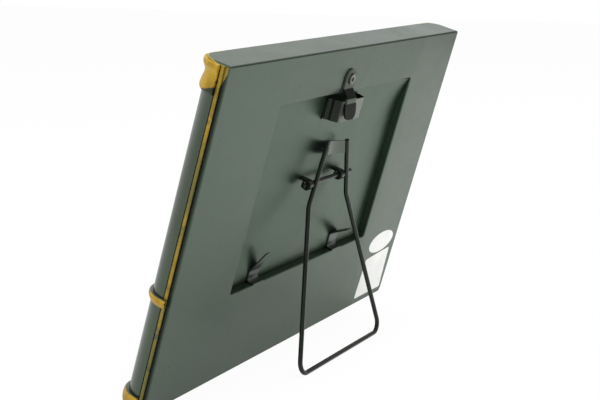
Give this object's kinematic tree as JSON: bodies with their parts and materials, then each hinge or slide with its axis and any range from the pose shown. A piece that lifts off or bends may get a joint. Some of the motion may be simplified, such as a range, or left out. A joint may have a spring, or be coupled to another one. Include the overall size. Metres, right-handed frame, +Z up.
{
  "type": "easel back photo frame",
  "caption": "Landscape photo frame of black folded sheet with half-round side columns and gold trim, standing on a hinged wire easel leg, with a turn-button back panel.",
  "frame": {"origin": "on the surface that the frame stands on, under the middle of its bounding box", "axes": "+X across the frame towards its right side seen from the front, +Y out of the back towards the easel leg, +Z up"},
  "size_m": [0.2752, 0.0704, 0.1802],
  "materials": {
    "black_sheet": "semi-gloss black paint on folded sheet",
    "gold_trim": "satin gold",
    "black_wire": "semi-gloss black on drawn wire",
    "eyelet_metal": "bright plated",
    "clear_glass": "polished",
    "print_paper": "blank matt print",
    "backing_board": "plain grey-brown board"
  },
  "bodies": {
    "frame": {"back_sheet": "black_sheet", "front_frame": "black_sheet", "glass_pane": "clear_glass", "photo_print": "print_paper", "backing_card": "backing_board", "back_panel": "black_sheet", "bow_spring": "black_sheet", "button_eyelet": "eyelet_metal", "hinge_strap_left": "black_sheet", "hinge_strap_right": "black_sheet", "bottom_clip_left": "black_sheet", "bottom_clip_right": "black_sheet", "side_rail_left": "black_sheet", "gold_bead_left": "gold_trim", "column_left": "black_sheet", "capital_left": "gold_trim", "ring_left": "gold_trim", "base_left": "gold_trim", "side_rail_right": "black_sheet", "gold_bead_right": "gold_trim", "column_right": "black_sheet", "capital_right": "gold_trim", "ring_right": "gold_trim", "base_right": "gold_trim"},
    "leg": {"leg_wire": "black_wire", "hinge_rod": "black_wire", "stop_plate": "black_sheet"},
    "button": {"turn_button": "black_sheet"}
  },
  "joints": [
    {"name": "leg_hinge", "type": "hinge", "parent": "frame", "child": "leg", "pos_m": [-0.001, 0.01329, 0.10082], "axis": [-1, 0, 0], "range_deg": [0, 20]},
    {"name": "button_swivel", "type": "hinge", "parent": "frame", "child": "button", "pos_m": [0.006, 0.03033, 0.15814], "axis": [0, 0.9576, -0.2882], "continuous": true}
  ]
}
